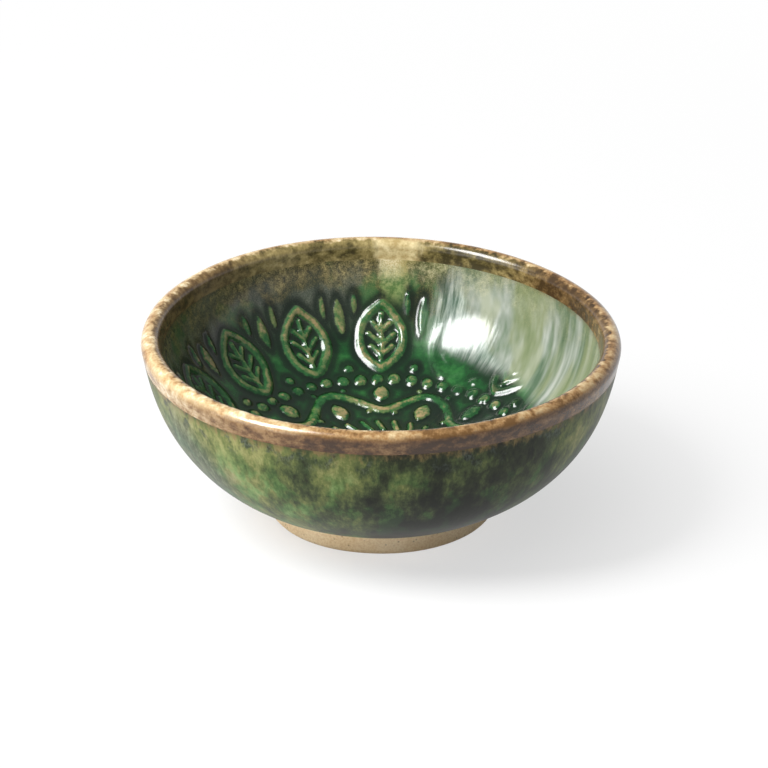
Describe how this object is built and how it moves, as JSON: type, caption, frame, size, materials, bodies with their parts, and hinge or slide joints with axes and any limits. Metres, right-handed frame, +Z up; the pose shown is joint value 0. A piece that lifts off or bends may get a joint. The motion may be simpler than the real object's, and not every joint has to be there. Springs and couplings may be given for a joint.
{
  "type": "dip bowl",
  "caption": "Small round stoneware bowl with a thick rounded lip, a pressed relief inside and a bare clay foot ring, for dips, sauces or salt.",
  "frame": {"origin": "on the table, under the middle of the foot ring and of the bowl", "axes": "+Z up through the middle of the bowl, which is its shortest extent; +X to the right and +Y away from a viewer in front; the rim stands slightly high towards -X"},
  "size_m": [0.1, 0.1, 0.0405],
  "materials": {
    "buff_stoneware": "bare fired clay, matt, fine sandy grain",
    "bare_foot_clay": "bare fired clay, trimmed and sponged, matt",
    "green_pooled_glaze": "glossy reactive green glaze, dark where it pools and tan on the crests",
    "olive_run_glaze": "glossy reactive olive and green glaze with downward runs",
    "iron_brown_rim_glaze": "glossy iron-brown glaze that breaks to cream over the lip"
  },
  "bodies": {
    "root": {"clay_bowl": "buff_stoneware", "foot_ring": "bare_foot_clay", "inside_glaze": "green_pooled_glaze", "outside_glaze": "olive_run_glaze", "rim_glaze": "iron_brown_rim_glaze"}
  },
  "joints": []
}
